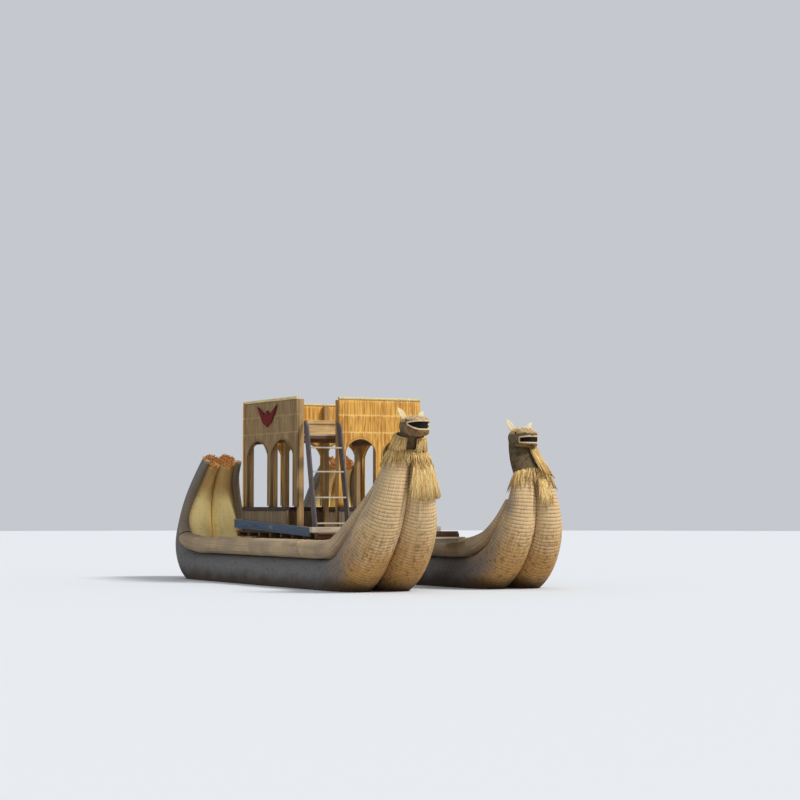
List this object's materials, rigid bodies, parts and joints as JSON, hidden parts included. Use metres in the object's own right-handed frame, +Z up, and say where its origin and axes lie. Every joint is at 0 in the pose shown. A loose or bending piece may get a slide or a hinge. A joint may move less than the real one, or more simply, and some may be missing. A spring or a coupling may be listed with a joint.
{
  "type": "twin-hulled reed boat",
  "caption": "Double-hulled totora reed boat with upswept bows ending in animal heads, plank deck, two-storey reed cabin with arches and a ladder.",
  "frame": {"origin": "on the waterline, midway between the two hulls, under the middle of the deck's fore part", "axes": "+X towards the bows, +Y to port, +Z up; the water's surface is z = 0"},
  "size_m": [10.1044, 4.6148, 3.9923],
  "materials": {
    "totora_reed": "dry reed stalks bound with rope, weathered",
    "neck_reed": "reed stalks closely bound with rope",
    "straw": "loose dry straw",
    "head_hide": "woven reed head, weathered",
    "reed_thatch": "reed wall panel in stitched courses",
    "timber_pale": "bare weathered timber",
    "timber_brown": "brown timber",
    "timber_dark": "dark stained timber",
    "board_blue_grey": "worn blue-grey paint on boards",
    "mat_brown": "rolled brown matting",
    "figure_red": "dark red cloth"
  },
  "bodies": {
    "root": {"bundle_outer_starboard": "totora_reed", "bundle_inner_starboard": "totora_reed", "gunwales_aft_starboard": "totora_reed", "gunwales_bow_starboard": "totora_reed", "stern_edging_starboard": "totora_reed", "throat_starboard": "neck_reed", "head_starboard": "head_hide", "ruff_starboard": "straw", "collar_starboard": "straw", "cape_starboard": "straw", "side_board_starboard": "board_blue_grey", "bundle_outer_port": "totora_reed", "bundle_inner_port": "totora_reed", "gunwales_aft_port": "totora_reed", "gunwales_bow_port": "totora_reed", "stern_edging_port": "totora_reed", "throat_port": "neck_reed", "head_port": "head_hide", "ruff_port": "straw", "collar_port": "straw", "cape_port": "straw", "side_board_port": "board_blue_grey", "parapet_starboard": "reed_thatch", "sill_starboard": "timber_dark", "reed_wall_starboard": "reed_thatch", "parapet_port": "reed_thatch", "sill_port": "timber_dark", "reed_wall_port": "reed_thatch", "parapet_rear": "reed_thatch", "sill_rear": "timber_dark", "reed_wall_rear": "reed_thatch", "parapet_front": "reed_thatch", "sill_front": "timber_dark", "reed_wall_front": "reed_thatch", "cross_beams": "timber_brown", "deck_planks": "timber_brown", "ladder_stop": "timber_pale", "foredeck_boards": "timber_pale", "mat_rolls": "mat_brown", "posts": "timber_pale", "top_poles": "timber_pale", "upper_bearers": "timber_brown", "upper_joists": "timber_brown", "upper_planks": "timber_pale", "ladder_stringers": "timber_pale", "ladder_steps": "timber_pale", "upper_bench": "timber_pale", "upper_bench_arm": "timber_brown", "wall_figure": "figure_red"}
  },
  "joints": []
}
